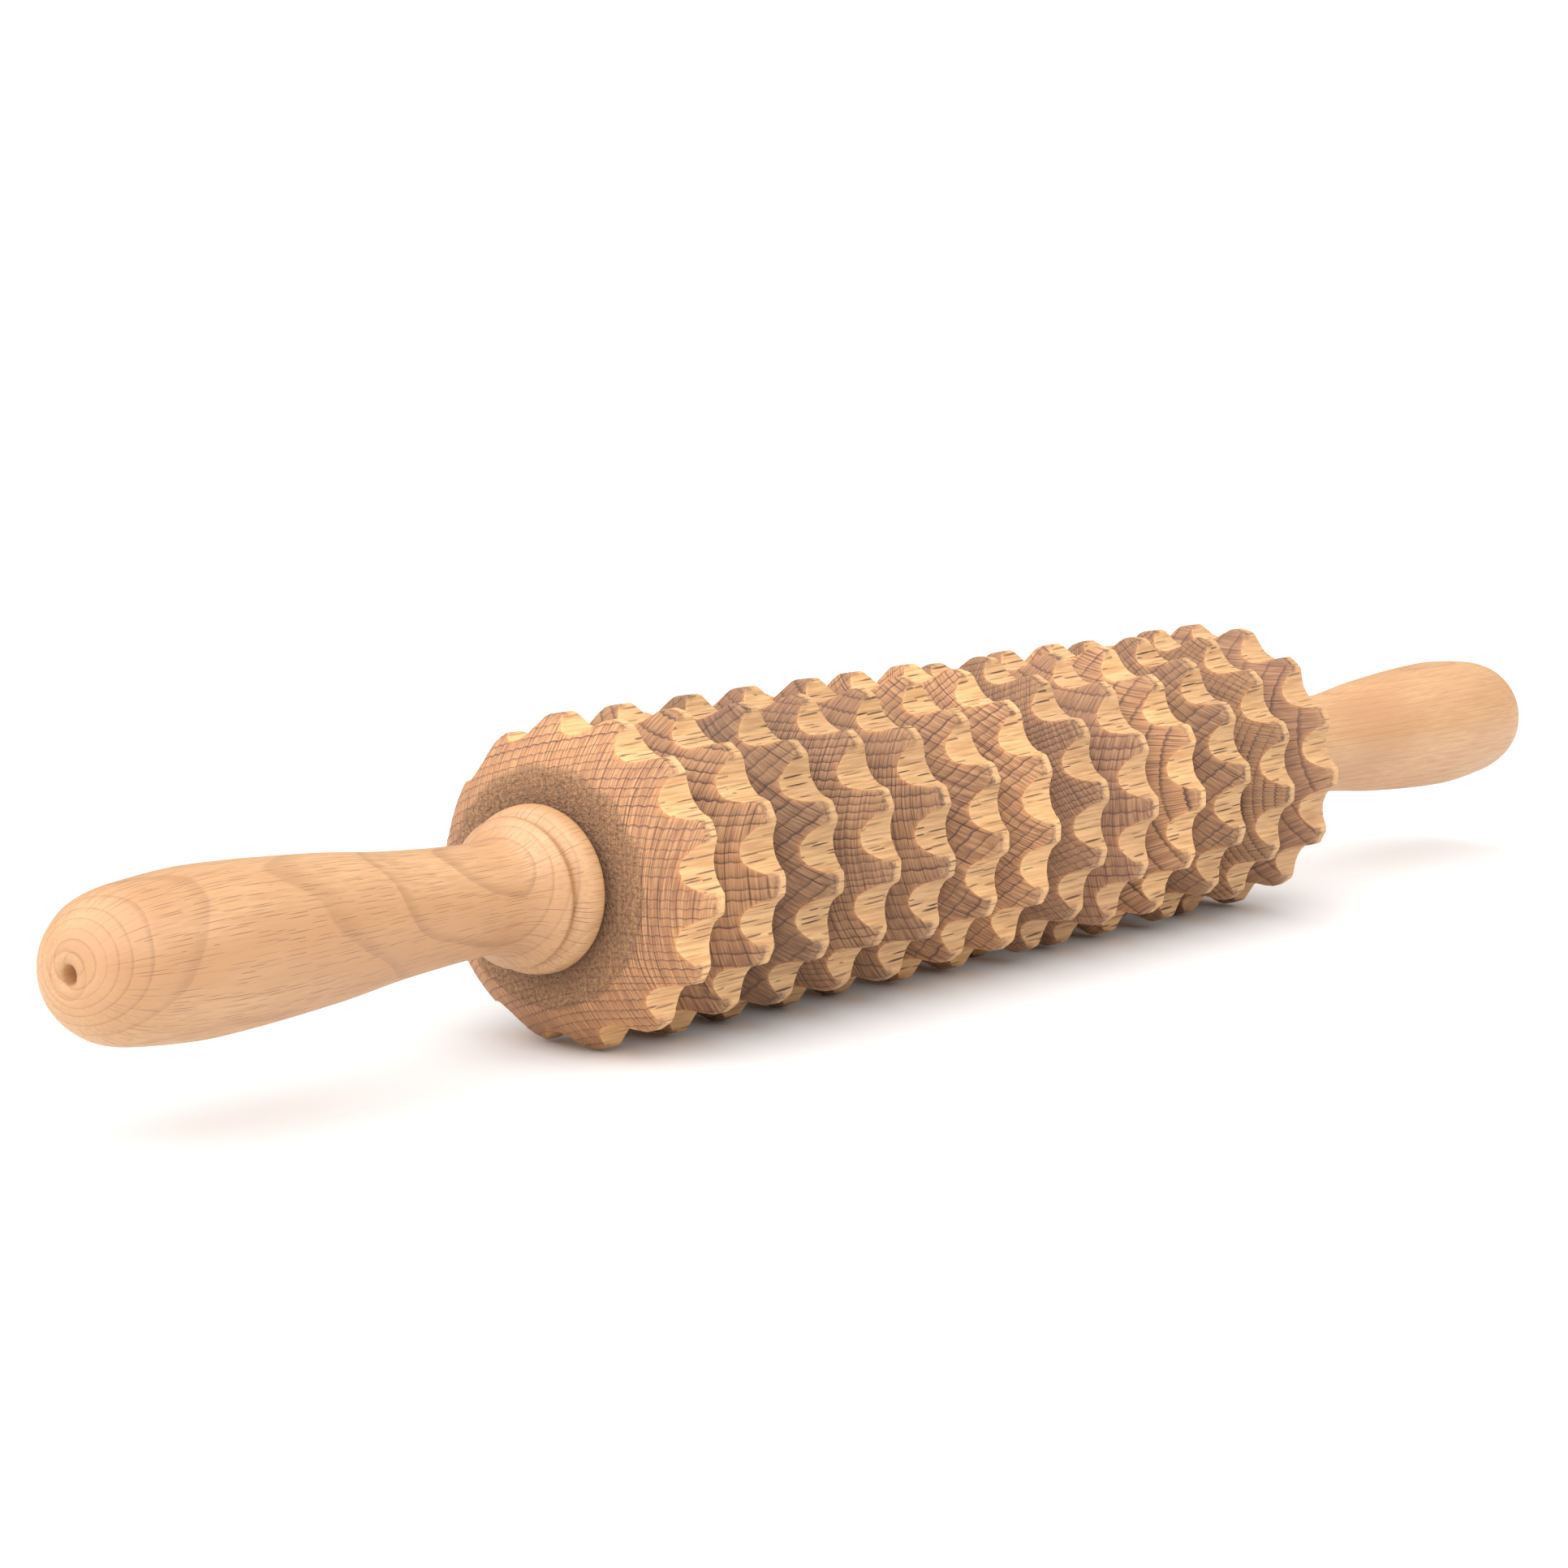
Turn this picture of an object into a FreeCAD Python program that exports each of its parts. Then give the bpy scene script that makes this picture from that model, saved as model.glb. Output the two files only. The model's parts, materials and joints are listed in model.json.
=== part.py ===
import FreeCAD, Part

import math
import os

from FreeCAD import Vector

# Foot massage roller: toothed wooden discs that spin freely side by side on a dowel axle, with a
# turned handle glued on each end of the axle. Millimetres. X runs along the axle, Z is up. The
# origin is on the floor, below the middle of the object. The left handle points to -X.

# Driving dimensions
disc_count = 13
tooth_count = 14
disc_diameter = 60.0
disc_pitch = 18.0            # from one disc to the next along the axle
disc_gap = 0.4               # air between two neighbouring discs
handle_length = 116.5
axle_diameter = 12.0
left_play = 1.2              # air between the first disc and the left handle
right_play = 3.0             # air between the last disc and the right handle

# Disc section
crest_radius = disc_diameter / 2
crest_width = 3.6            # width of the band at full diameter
hub_radius = 20.5            # edge of the sawn face, where the shoulder starts
shoulder_radius = 25.8       # where the steep part of the long shoulder meets its gentle part
disc_width = disc_pitch - disc_gap
left_shoulder = 9.2          # width of the long shoulder, left of the crest
left_shoulder_steep = 3.2    # width of its steep part
right_shoulder = disc_width - left_shoulder - crest_width
running_clearance = 0.1      # radial, so that a disc spins on the axle
bore_radius = axle_diameter / 2 + running_clearance

# Flutes: round hollows cut along the axle, which leave the teeth between them
flute_depth = 3.2
flute_opening = 9.6          # measured across, at the crest
flute_radius = flute_opening ** 2 / (8 * flute_depth) + flute_depth / 2
flute_centre_radius = crest_radius - flute_depth + flute_radius
tooth_angle = 360.0 / tooth_count
tooth_half_land = tooth_angle / 2 - math.degrees(math.asin(flute_opening / 2 / crest_radius))

# How far the teeth of each disc have climbed on the -Y side, in degrees, from standing evenly on two teeth
disc_turns = [-1, 1.5, -2, -1.5, -4, 1, 1, 13, 3, 3, 9.5, -2.5, 1]

# Handle
collar_radius = 15.0         # round rim next to the discs
collar_width = 6.2
bead_radius = 13.1           # small ridge beside the collar
groove_radius = 12.6
neck_radius = 9.8
neck_distance = 17.0         # from the end of the collar to the thinnest place
grip_radius = 14.1
nose_radius = 4.6            # small flat at the tip
nose_slope = 79.0            # degrees, how steeply the grip rises from that flat
socket_depth = 32.0          # the axle is glued into the handle this deep
tip_hole_radius = 1.5
tip_hole_depth = 6.0

# Places along the axle
row_length = disc_count * disc_pitch - disc_gap
total_length = row_length + left_play + right_play + 2 * handle_length
left_tip = -total_length / 2
left_collar = left_tip + handle_length
right_collar = -left_collar
first_disc = left_collar + left_play


def lowest_tooth_reach(turn):
    """How far below the axle a disc turned by this angle reaches."""
    from_bottom = abs(tooth_angle / 2 - abs(turn) % tooth_angle)     # to the middle of the nearest tooth
    beyond_land = max(from_bottom - tooth_half_land, 0)
    return crest_radius * math.cos(math.radians(beyond_land))


axle_height = max(lowest_tooth_reach(turn) for turn in disc_turns)


def revolve_about_x(edges):
    """Turn a closed outline, drawn in the XZ plane above the X axis, into a solid of revolution."""
    face = Part.Face(Part.Wire(edges))
    return face.revolve(Vector(0, 0, 0), Vector(1, 0, 0), 360)


def at(x, radius):
    return Vector(x, 0, radius)


def line(start, end):
    return Part.LineSegment(start, end).toShape()


def arc(start, middle, end):
    return Part.Arc(start, middle, end).toShape()


def arc_chain(start, slope, ends):
    """Arcs that run on smoothly from one another through the points; the first one sets off at this slope."""
    edges = []
    direction = math.radians(slope)
    for end in ends:
        chord = end - start
        chord_direction = math.atan2(chord.z, chord.x)
        half_turn = chord_direction - direction
        bulge = chord.Length / 2 * math.tan(half_turn / 2)
        middle = (start + end) / 2 + at(math.sin(chord_direction), -math.cos(chord_direction)) * bulge
        edges.append(arc(start, middle, end))
        start = end
        direction = chord_direction + half_turn
    return edges


def polyline(points):
    return [line(start, end) for start, end in zip(points, points[1:])]


def disc_blank():
    """The disc before its flutes are cut. Its left sawn face is at x = 0."""
    outline = [
        at(0, bore_radius),
        at(0, hub_radius),
        at(left_shoulder_steep, shoulder_radius),
        at(left_shoulder, crest_radius),
        at(disc_width - right_shoulder, crest_radius),
        at(disc_width, hub_radius),
        at(disc_width, bore_radius),
        at(0, bore_radius),
    ]
    return revolve_about_x(polyline(outline))


def flute_cutter():
    """A round bar that lies along the top of the disc."""
    return Part.makeCylinder(flute_radius, disc_width + 2, at(-1, flute_centre_radius), Vector(1, 0, 0))


def toothed_disc():
    """A disc at x = 0 with a flute at the top and another at the bottom."""
    cutters = []
    for flute in range(tooth_count):
        cutter = flute_cutter()
        cutter.rotate(Vector(0, 0, 0), Vector(1, 0, 0), flute * tooth_angle)
        cutters.append(cutter)
    return disc_blank().cut(cutters)


def handle():
    """A handle whose tip is at x = 0 and whose collar ends at x = handle_length."""
    collar_start = handle_length - collar_width
    bead_x = collar_start - 1.8
    groove_x = collar_start - 0.6
    neck_x = handle_length - neck_distance
    grip = arc_chain(at(0, nose_radius), nose_slope, [
        at(7.5, 12.1),
        at(30.0, grip_radius),
        at(58.0, 12.7),
        at(77.0, 10.9),
        at(neck_x, neck_radius),
        at(neck_x + 5.0, 10.6),
        at(bead_x, bead_radius),
    ])
    rim_start = at(handle_length - 1.2, collar_radius)
    rim_end = at(handle_length, collar_radius - 0.8)
    socket_end = handle_length - socket_depth
    outline = polyline([at(tip_hole_depth, 0), at(tip_hole_depth, tip_hole_radius), at(0, tip_hole_radius),
                        at(0, nose_radius)])
    outline += grip
    outline += [
        line(at(bead_x, bead_radius), at(groove_x, groove_radius)),
        arc(at(groove_x, groove_radius), at(collar_start + 2.2, 14.6), rim_start),
    ]
    outline += polyline([rim_start, rim_end, at(handle_length, axle_diameter / 2),
                         at(socket_end, axle_diameter / 2), at(socket_end, 0), at(tip_hole_depth, 0)])
    return revolve_about_x(outline)


def axle():
    """The dowel, from the bottom of one handle's socket to the bottom of the other's."""
    start = left_collar - socket_depth
    return Part.makeCylinder(axle_diameter / 2, right_collar - left_collar + 2 * socket_depth,
                             at(start, 0), Vector(1, 0, 0))


def save(name, shape):
    """Lift a piece from the axle's own height to its place above the floor, and write it."""
    placed = shape.copy()
    placed.translate(Vector(0, 0, axle_height))
    placed.exportStep("parts/" + name + ".step")


os.makedirs("parts", exist_ok=True)

save("axle", axle())

left_handle = handle()
left_handle.translate(Vector(left_tip, 0, 0))
save("left_handle", left_handle)

right_handle = handle()
right_handle.rotate(Vector(0, 0, 0), Vector(0, 0, 1), 180)
right_handle.translate(Vector(-left_tip, 0, 0))
save("right_handle", right_handle)

plain_disc = toothed_disc()
for index, turn in enumerate(disc_turns):
    disc = plain_disc.copy()
    disc.rotate(Vector(0, 0, 0), Vector(1, 0, 0), -turn)
    disc.translate(Vector(first_disc + index * disc_pitch, 0, 0))
    save("disc_%02d" % (index + 1), disc)
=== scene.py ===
import json
import math

import bmesh
import bpy
from mathutils import Matrix, Vector


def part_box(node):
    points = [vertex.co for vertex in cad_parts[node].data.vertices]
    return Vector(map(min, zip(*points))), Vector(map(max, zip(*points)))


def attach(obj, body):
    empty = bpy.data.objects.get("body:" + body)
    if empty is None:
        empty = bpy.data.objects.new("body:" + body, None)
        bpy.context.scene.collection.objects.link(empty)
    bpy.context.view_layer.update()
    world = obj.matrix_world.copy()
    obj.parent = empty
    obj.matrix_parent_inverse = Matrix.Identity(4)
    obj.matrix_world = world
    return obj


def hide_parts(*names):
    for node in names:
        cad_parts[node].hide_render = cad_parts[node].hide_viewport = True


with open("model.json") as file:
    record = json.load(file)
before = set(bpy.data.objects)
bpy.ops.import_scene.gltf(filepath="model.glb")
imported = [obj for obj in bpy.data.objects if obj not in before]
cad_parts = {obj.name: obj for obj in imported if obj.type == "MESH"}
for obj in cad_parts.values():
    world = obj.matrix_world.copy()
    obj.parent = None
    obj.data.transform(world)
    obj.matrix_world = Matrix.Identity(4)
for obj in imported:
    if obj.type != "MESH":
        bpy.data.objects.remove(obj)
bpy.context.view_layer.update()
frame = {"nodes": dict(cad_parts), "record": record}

mm = 0.001
axleHeight = sum(corner[2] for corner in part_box("axle")) / 2
discNodes = sorted(name for name in frame["nodes"] if name.startswith("disc_"))
bodyOfNode = {node: body for body, nodes in frame["record"]["behaviour"]["bodies"].items() for node in nodes}


# small helpers for node trees

def addNode(tree, kind, **settings):
    node = tree.nodes.new(kind)
    for name, value in settings.items():
        setattr(node, name, value)
    return node


def feed(tree, socket, value):
    if isinstance(value, bpy.types.NodeSocket):
        tree.links.new(value, socket)
    else:
        socket.default_value = value


def calc(tree, operation, *values, clamp=False):
    node = addNode(tree, "ShaderNodeMath", operation=operation, use_clamp=clamp)
    for socket, value in zip(node.inputs, values):
        feed(tree, socket, value)
    return node.outputs[0]


def remap(tree, value, low, high, newLow=0.0, newHigh=1.0, kind="LINEAR"):
    node = addNode(tree, "ShaderNodeMapRange", interpolation_type=kind)
    settings = {"Value": value, "From Min": low, "From Max": high, "To Min": newLow, "To Max": newHigh}
    for name, setting in settings.items():
        feed(tree, node.inputs[name], setting)
    return node.outputs["Result"]


def joinXyz(tree, x, y, z):
    node = addNode(tree, "ShaderNodeCombineXYZ")
    for socket, value in zip(node.inputs, (x, y, z)):
        feed(tree, socket, value)
    return node.outputs[0]


def hypotenuse(tree, first, second):
    squares = [calc(tree, "MULTIPLY", side, side) for side in (first, second)]
    return calc(tree, "SQRT", calc(tree, "ADD", *squares))


def blendColour(tree, factor, first, second, kind="MIX"):
    node = addNode(tree, "ShaderNodeMix", data_type="RGBA", blend_type=kind, clamp_factor=True)
    feed(tree, node.inputs[0], factor)
    feed(tree, node.inputs[6], first)
    feed(tree, node.inputs[7], second)
    return node.outputs[2]


def stain(tree, base, colour, mask, strength):
    return blendColour(tree, calc(tree, "MULTIPLY", mask, strength), base, colour)


def noise(tree, vector, scale, detail=2.0, roughness=0.5):
    node = addNode(tree, "ShaderNodeTexNoise")
    feed(tree, node.inputs["Vector"], vector)
    feed(tree, node.inputs["Scale"], scale)
    feed(tree, node.inputs["Detail"], detail)
    feed(tree, node.inputs["Roughness"], roughness)
    return node.outputs["Fac"]


def newSockets(tree, inOut, kind, *names):
    for name in names:
        tree.interface.new_socket(name=name, in_out=inOut, socket_type="NodeSocket" + kind)


def tint(red, green, blue):
    # a colour as it looks on a screen, 0 to 255, turned linear
    channels = [((c / 255 + 0.055) / 1.055) ** 2.4 if c > 10 else c / 255 / 12.92 for c in (red, green, blue)]
    return (*channels, 1.0)


# beech, as a solid pattern: growth rings round a pith line, rays across them, fibres along X

beechGrain = {
    "swayRate": (0.012, 0.03),        # a pair of rates is per millimetre, along the grain and across it
    "raysRound": 90.0,                # in a radian round the pith, at a ray gap of one
    "scallopRate": 1.9,               # per ray, as the patch rate and the fine rate are
    "gapRate": 0.16,                  # per millimetre outwards
    "gapChange": 1.6,
    "ringStarts": (0.74, 0.94),       # parts of a season
    "ringStops": (0.965, 1.0),
    "ringPick": (0.55, 1.0),
    "patchRate": 0.12,
    "patchRange": (0.3, 0.6),
    "patchStrength": (0.5, 1.0),
    "rayLength": (16.0, 7.0),         # outwards from the pith, and along the grain
    "raySquash": (0.9, 9.0, 1.1),
    "rayFade": (0.3, 1.0),
    "rayPick": (0.45, 1.0),
    "fineLength": (9.0, 5.0),
    "fineRate": 4.5,
    "dashLength": 6.5,
    "dashRows": 17.0,                 # in a radian round the axle
    "dashSlant": 0.02,
    "dashSquash": (1.5, 10.0, 0.0),
    "dashFade": (0.45, 1.0),
    "dashPick": (0.2, 0.75),
    "dashFree": (7.0, 9.6),           # dashes come in between these distances from the axle
    "fibreRate": (0.09, 1.7),
    "poreRate": (0.8, 9.0),
    "cloudRate": (0.02, 0.06),
}


def grainPlace(tree, x, y, z, rate, seed):
    along, across = rate
    return joinXyz(tree, calc(tree, "MULTIPLY", x, along), calc(tree, "MULTIPLY", y, across),
                   calc(tree, "MULTIPLY_ADD", z, across, seed))


def spots(tree, place, squash, fade):
    # one long spot in each cell of a random net, and a random number for each
    cells = addNode(tree, "ShaderNodeTexVoronoi", feature="F1")
    feed(tree, cells.inputs["Vector"], place)
    cells.inputs["Scale"].default_value = 1.0
    gap = addNode(tree, "ShaderNodeVectorMath", operation="SUBTRACT")
    feed(tree, gap.inputs[0], place)
    feed(tree, gap.inputs[1], cells.outputs["Position"])
    shaped = addNode(tree, "ShaderNodeVectorMath", operation="MULTIPLY")
    feed(tree, shaped.inputs[0], gap.outputs[0])
    shaped.inputs[1].default_value = squash
    size = addNode(tree, "ShaderNodeVectorMath", operation="LENGTH")
    feed(tree, size.inputs[0], shaped.outputs[0])
    pick = addNode(tree, "ShaderNodeSeparateColor")
    feed(tree, pick.inputs[0], cells.outputs["Color"])
    shape = remap(tree, size.outputs["Value"], *fade, 1.0, 0.0, kind="SMOOTHSTEP")
    return shape, pick.outputs[0]


def makeBeechGroup():
    tree = bpy.data.node_groups.new("solidBeech", "ShaderNodeTree")
    newSockets(tree, "INPUT", "Vector", "Place")
    newSockets(tree, "INPUT", "Float", "Pith Y", "Pith Z", "Ring Gap", "Ring Wander", "Scallop", "Ray Gap",
               "Middle Z", "Grain Slope", "Seed")
    newSockets(tree, "OUTPUT", "Float", "Ring", "Season", "Ray", "Fine Ray", "Dash", "Fibre", "Cloud", "Pore")
    given = addNode(tree, "NodeGroupInput").outputs
    place = addNode(tree, "ShaderNodeVectorMath", operation="SCALE")
    feed(tree, place.inputs[0], given["Place"])
    place.inputs["Scale"].default_value = 1 / mm
    split = addNode(tree, "ShaderNodeSeparateXYZ")
    feed(tree, split.inputs[0], place.outputs[0])
    x, y, z = split.outputs
    seed = given["Seed"]

    swayAlong, swayAcross = beechGrain["swayRate"]
    sway = addNode(tree, "ShaderNodeTexNoise")
    feed(tree, sway.inputs["Vector"], joinXyz(tree, calc(tree, "MULTIPLY_ADD", x, swayAlong, seed),
                                              calc(tree, "MULTIPLY", y, swayAcross),
                                              calc(tree, "MULTIPLY", z, swayAcross)))
    sway.inputs["Scale"].default_value = 1.0
    sway.inputs["Detail"].default_value = 2.0
    swaySplit = addNode(tree, "ShaderNodeSeparateColor")
    feed(tree, swaySplit.inputs[0], sway.outputs["Color"])
    swayY, swayZ = [calc(tree, "MULTIPLY", calc(tree, "SUBTRACT", channel, 0.5), given["Ring Wander"])
                    for channel in swaySplit.outputs[:2]]
    fromPithY = calc(tree, "SUBTRACT", calc(tree, "ADD", y, swayY), given["Pith Y"])
    fromPithZ = calc(tree, "SUBTRACT", calc(tree, "ADD", z, swayZ), given["Pith Z"])
    fromPithZ = calc(tree, "MULTIPLY_ADD", x, given["Grain Slope"], fromPithZ)
    radius = hypotenuse(tree, fromPithY, fromPithZ)
    angle = calc(tree, "ARCTAN2", fromPithZ, fromPithY)

    # growth rings: a slow darkening through the season that ends in a thin dark line, scalloped between rays
    rayAngle = calc(tree, "DIVIDE", calc(tree, "MULTIPLY", angle, beechGrain["raysRound"]), given["Ray Gap"])
    wave = calc(tree, "SINE", calc(tree, "MULTIPLY", rayAngle, beechGrain["scallopRate"]))
    scallop = calc(tree, "MULTIPLY", calc(tree, "ABSOLUTE", wave), given["Scallop"])
    gapPlace = joinXyz(tree, calc(tree, "MULTIPLY", radius, beechGrain["gapRate"]), seed, 0.0)
    unevenGap = noise(tree, gapPlace, 1.0, 1.0)
    ringCount = calc(tree, "ADD", calc(tree, "DIVIDE", radius, given["Ring Gap"]),
                     calc(tree, "MULTIPLY", unevenGap, beechGrain["gapChange"]))
    ringCount = calc(tree, "SUBTRACT", ringCount, scallop)
    wholeRings = calc(tree, "FLOOR", ringCount)
    season = calc(tree, "FRACT", ringCount)
    lineOn = remap(tree, season, *beechGrain["ringStarts"], kind="SMOOTHSTEP")
    lineOff = remap(tree, season, *beechGrain["ringStops"], 1.0, 0.0, kind="SMOOTHSTEP")
    ringPick = addNode(tree, "ShaderNodeTexWhiteNoise", noise_dimensions="2D")
    feed(tree, ringPick.inputs["Vector"], joinXyz(tree, wholeRings, seed, 0.0))
    patchPlace = joinXyz(tree, calc(tree, "MULTIPLY", rayAngle, beechGrain["patchRate"]), wholeRings, seed)
    ringPatch = noise(tree, patchPlace, 1.0, 1.0)
    wholeStrength = remap(tree, ringPick.outputs["Value"], 0.0, 1.0, *beechGrain["ringPick"])
    patchStrength = remap(tree, ringPatch, *beechGrain["patchRange"], *beechGrain["patchStrength"])
    strength = calc(tree, "MULTIPLY", wholeStrength, patchStrength)
    ring = calc(tree, "MULTIPLY", calc(tree, "MULTIPLY", lineOn, lineOff), strength)

    # rays: thin plates that run out from the pith, a few millimetres tall along the grain
    outwards, along = beechGrain["rayLength"]
    rayPlace = joinXyz(tree, calc(tree, "DIVIDE", radius, outwards), calc(tree, "ADD", rayAngle, seed),
                       calc(tree, "DIVIDE", x, along))
    rayShape, rayPick = spots(tree, rayPlace, beechGrain["raySquash"], beechGrain["rayFade"])
    ray = calc(tree, "MULTIPLY", rayShape, remap(tree, rayPick, 0.0, 1.0, *beechGrain["rayPick"]))
    outwards, along = beechGrain["fineLength"]
    finePlace = joinXyz(tree, calc(tree, "DIVIDE", radius, outwards),
                        calc(tree, "MULTIPLY", rayAngle, beechGrain["fineRate"]),
                        calc(tree, "DIVIDE", x, along))
    fineRay = noise(tree, finePlace, 1.0, 2.0, 0.6)

    # the same rays where a long cut shows only their ends, as short dark dashes
    fromMiddle = calc(tree, "SUBTRACT", z, given["Middle Z"])
    roundAngle = calc(tree, "ARCTAN2", fromMiddle, y)
    dashRow = calc(tree, "MULTIPLY_ADD", x, beechGrain["dashSlant"],
                   calc(tree, "MULTIPLY_ADD", roundAngle, beechGrain["dashRows"], seed))
    dashPlace = joinXyz(tree, calc(tree, "DIVIDE", x, beechGrain["dashLength"]), dashRow, seed)
    dashShape, dashPick = spots(tree, dashPlace, beechGrain["dashSquash"], beechGrain["dashFade"])
    dash = calc(tree, "MULTIPLY", dashShape, remap(tree, dashPick, *beechGrain["dashPick"]))
    fromAxis = hypotenuse(tree, y, fromMiddle)
    dash = calc(tree, "MULTIPLY", dash, remap(tree, fromAxis, *beechGrain["dashFree"]))

    # fibres and pores, both long along the grain, and broad clouds of tone
    fibre = noise(tree, grainPlace(tree, x, y, z, beechGrain["fibreRate"], seed), 1.0, 3.0, 0.6)
    pore = noise(tree, grainPlace(tree, x, y, z, beechGrain["poreRate"], seed), 1.0, 1.0)
    cloud = noise(tree, grainPlace(tree, x, y, z, beechGrain["cloudRate"], seed), 1.0, 2.0)

    out = addNode(tree, "NodeGroupOutput")
    results = {"Ring": ring, "Season": season, "Ray": ray, "Fine Ray": fineRay, "Dash": dash, "Fibre": fibre,
               "Cloud": cloud, "Pore": pore}
    for name, value in results.items():
        feed(tree, out.inputs[name], value)
    return tree


beechGroup = makeBeechGroup()


def beechNodes(tree, wood):
    pithTurn = math.radians(wood["pithAngle"])
    settings = {
        "Place": addNode(tree, "ShaderNodeTexCoord").outputs["Object"],
        "Pith Y": -wood["pithAway"] * math.cos(pithTurn),
        "Pith Z": axleHeight / mm + wood["pithAway"] * math.sin(pithTurn),
        "Middle Z": axleHeight / mm,
        "Ring Gap": wood["ringGap"], "Ring Wander": wood["ringWander"], "Scallop": wood["scallop"],
        "Ray Gap": wood["rayGap"], "Grain Slope": wood["grainSlope"], "Seed": wood["seed"],
    }
    group = addNode(tree, "ShaderNodeGroup", node_tree=beechGroup)
    for name, setting in settings.items():
        feed(tree, group.inputs[name], setting)
    return group.outputs


def newMaterial(name):
    material = bpy.data.materials.new(name)
    material.use_nodes = True
    tree = material.node_tree
    shader = tree.nodes["Principled BSDF"]
    return material, tree, shader


def addBump(tree, shader, height, strength, distance):
    bump = addNode(tree, "ShaderNodeBump")
    bump.inputs["Strength"].default_value = strength
    bump.inputs["Distance"].default_value = distance
    feed(tree, bump.inputs["Height"], height)
    feed(tree, shader.inputs["Normal"], bump.outputs["Normal"])


def readMask(tree, name):
    return addNode(tree, "ShaderNodeAttribute", attribute_type="GEOMETRY", attribute_name=name).outputs["Fac"]


discFinish = {
    "cloudRange": (0.3, 0.7),         # a range is where a mask starts and where it is full
    "fineRayRange": (0.44, 0.62),
    "fibreRange": (0.38, 0.62),
    "tuftRange": (0.36, 0.66),
    "tearRange": (0.35, 0.6),
    "raggedRange": (0.55, 1.3),
    "tornRange": (0.6, 1.1),
    "tearRate": 1500.0,               # per metre
    "tuftRate": 1300.0,
    "furNoise": (3.0, 0.7),           # detail and roughness
    "tuftReach": 0.8,
    "tearReach": 0.9,
    "rimPower": 1.6,
    "edgeFray": 0.6,
    "seasonTint": 0.38,
    "fineRayTint": 0.5,
    "longRingTint": 0.3,
    "sawnTint": 0.55,
    "warmTint": 0.32,
    "frayTint": 0.45,
    # painted shade round the bore, as a share of the dark line colour
    "hubShadeTint": 0.4,
    "roughRange": (0.3, 0.7),
    "roughness": (0.62, 0.74),
    "specular": 0.6,
    "relief": {"swell": 0.9, "ray": 0.7, "fineRay": 0.5, "fibre": 0.8, "dash": 1.2, "fur": 14.0, "pore": 0.3},
    "bumpStrength": 0.85,
    "bumpHeight": 0.2 * mm,
}
turnedFinish = {
    "cloudRange": (0.3, 0.7),
    "fibreRange": (0.4, 0.65),
    "fibreTint": 0.7,
    "seasonTint": 0.05,
    "roughRange": (0.3, 0.7),
    "roughness": (0.42, 0.55),
    "specular": 0.75,
    "relief": {"dash": -0.5, "fibre": 0.4},
    "bumpStrength": 0.35,
    "bumpHeight": 0.08 * mm,
}


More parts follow.
